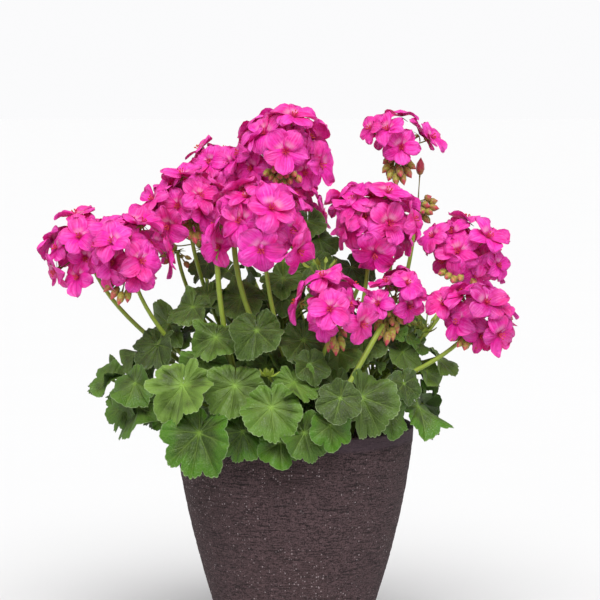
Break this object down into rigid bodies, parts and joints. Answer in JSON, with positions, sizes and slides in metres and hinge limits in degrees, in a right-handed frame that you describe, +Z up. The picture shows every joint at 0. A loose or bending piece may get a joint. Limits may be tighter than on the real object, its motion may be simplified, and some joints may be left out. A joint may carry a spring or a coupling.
{
  "type": "potted zonal geranium",
  "caption": "Bushy zonal geranium with rounded pink flower heads on tall stalks over scalloped leaves, in a tapered rough stone-like planter.",
  "frame": {"origin": "middle of the planter's flat base, on the surface that it stands on", "axes": "+Z up along the planter's axis, -Y towards the side that shows best, +X to the right seen from there"},
  "size_m": [0.4928, 0.3255, 0.5763],
  "materials": {
    "planter": "matte",
    "potting_mix": "matte",
    "foliage": "satin",
    "petals": "satin"
  },
  "bodies": {
    "root": {"planter": "planter", "potting_mix": "potting_mix", "leafy_stem_left": "foliage", "leafy_stem_front_left": "foliage", "leafy_stem_front": "foliage", "leafy_stem_front_right": "foliage", "leafy_stem_right": "foliage", "leafy_stem_back": "foliage", "leafy_stem_back_left": "foliage", "leafy_stem_middle": "foliage", "umbel_left_front": "petals", "umbel_left_back": "petals", "umbel_left_low": "petals", "umbel_upper_left": "petals", "umbel_top_left": "petals", "umbel_top": "petals", "umbel_centre": "petals", "umbel_right": "petals", "umbel_low_front": "petals", "umbel_low_right": "petals", "umbel_far_right": "petals", "umbel_far_low": "petals", "umbel_high_right": "petals", "umbel_back_left": "petals", "umbel_back": "petals", "umbel_back_right": "petals"}
  },
  "joints": []
}
